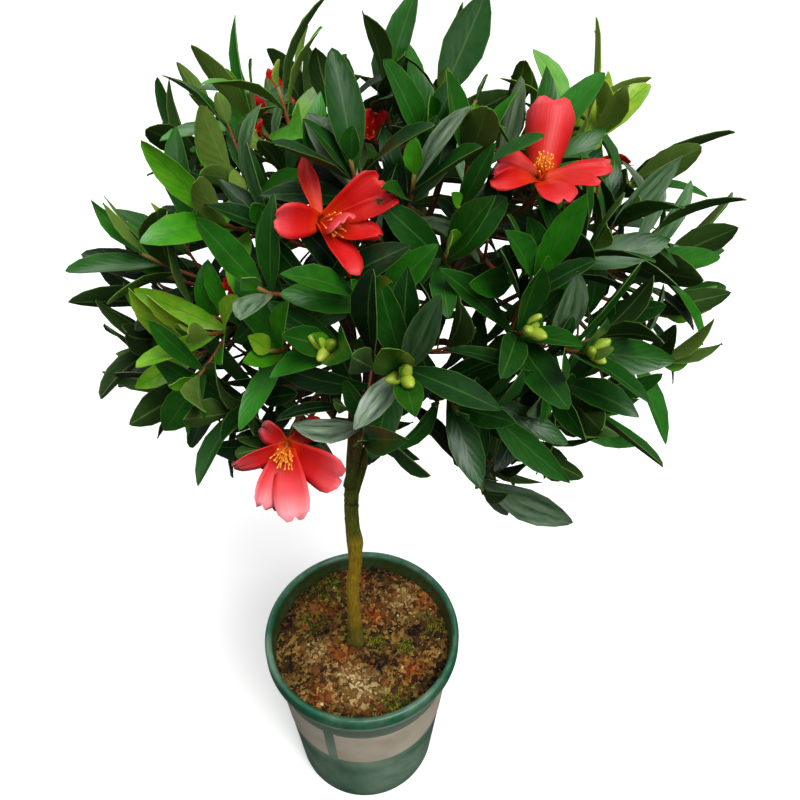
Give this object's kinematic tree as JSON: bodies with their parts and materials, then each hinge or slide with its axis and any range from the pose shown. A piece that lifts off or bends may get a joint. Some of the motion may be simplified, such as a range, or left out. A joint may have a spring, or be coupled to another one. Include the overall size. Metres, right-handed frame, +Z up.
{
  "type": "potted camellia shrub",
  "caption": "Small camellia grown as a standard: a round leafy crown with red blooms on a clear slender trunk, in a tapered nursery pot filled with bark mix.",
  "frame": {"origin": "centre of the pot's flat underside, where it stands", "axes": "+Z up along the pot's axis, +X to the plant's right and -Y to the front as it is seen with its three large blooms facing"},
  "size_m": [0.5243, 0.5039, 0.9509],
  "materials": {
    "pot": "dark green moulded polypropylene, satin",
    "soil": "bark, peat and grit potting mix with moss",
    "bark": "smooth olive-brown bark",
    "leaves": "glossy dark green leaves",
    "petals": "satin red and pink petals",
    "label": "bare cream printed panels"
  },
  "bodies": {
    "root": {"pot": "pot", "soil": "soil", "trunk": "bark", "bough_left": "bark", "bough_right": "bark", "bough_front": "bark", "bough_back": "bark", "bough_middle": "bark", "branch_front_left": "bark", "branch_back_left": "bark", "branch_front_low": "bark", "branch_front_right": "bark", "branch_low_right": "bark", "branch_back_right": "bark", "branch_upper_front": "bark", "branch_upper_left": "bark", "branch_upper_right": "bark", "branch_upper_back_left": "bark", "branch_upper_back_right": "bark", "branch_upper_side_right": "bark", "foliage_front": "leaves", "foliage_front_low": "leaves", "foliage_front_left": "leaves", "foliage_front_right": "leaves", "foliage_low_right": "leaves", "foliage_left": "leaves", "foliage_right": "leaves", "foliage_upper_front": "leaves", "foliage_upper_right": "leaves", "foliage_upper_left": "leaves", "foliage_upper_side_right": "leaves", "foliage_top": "leaves", "foliage_back_left": "leaves", "foliage_back": "leaves", "foliage_back_right": "leaves", "foliage_upper_back_left": "leaves", "foliage_upper_back_right": "leaves"}
  },
  "joints": []
}
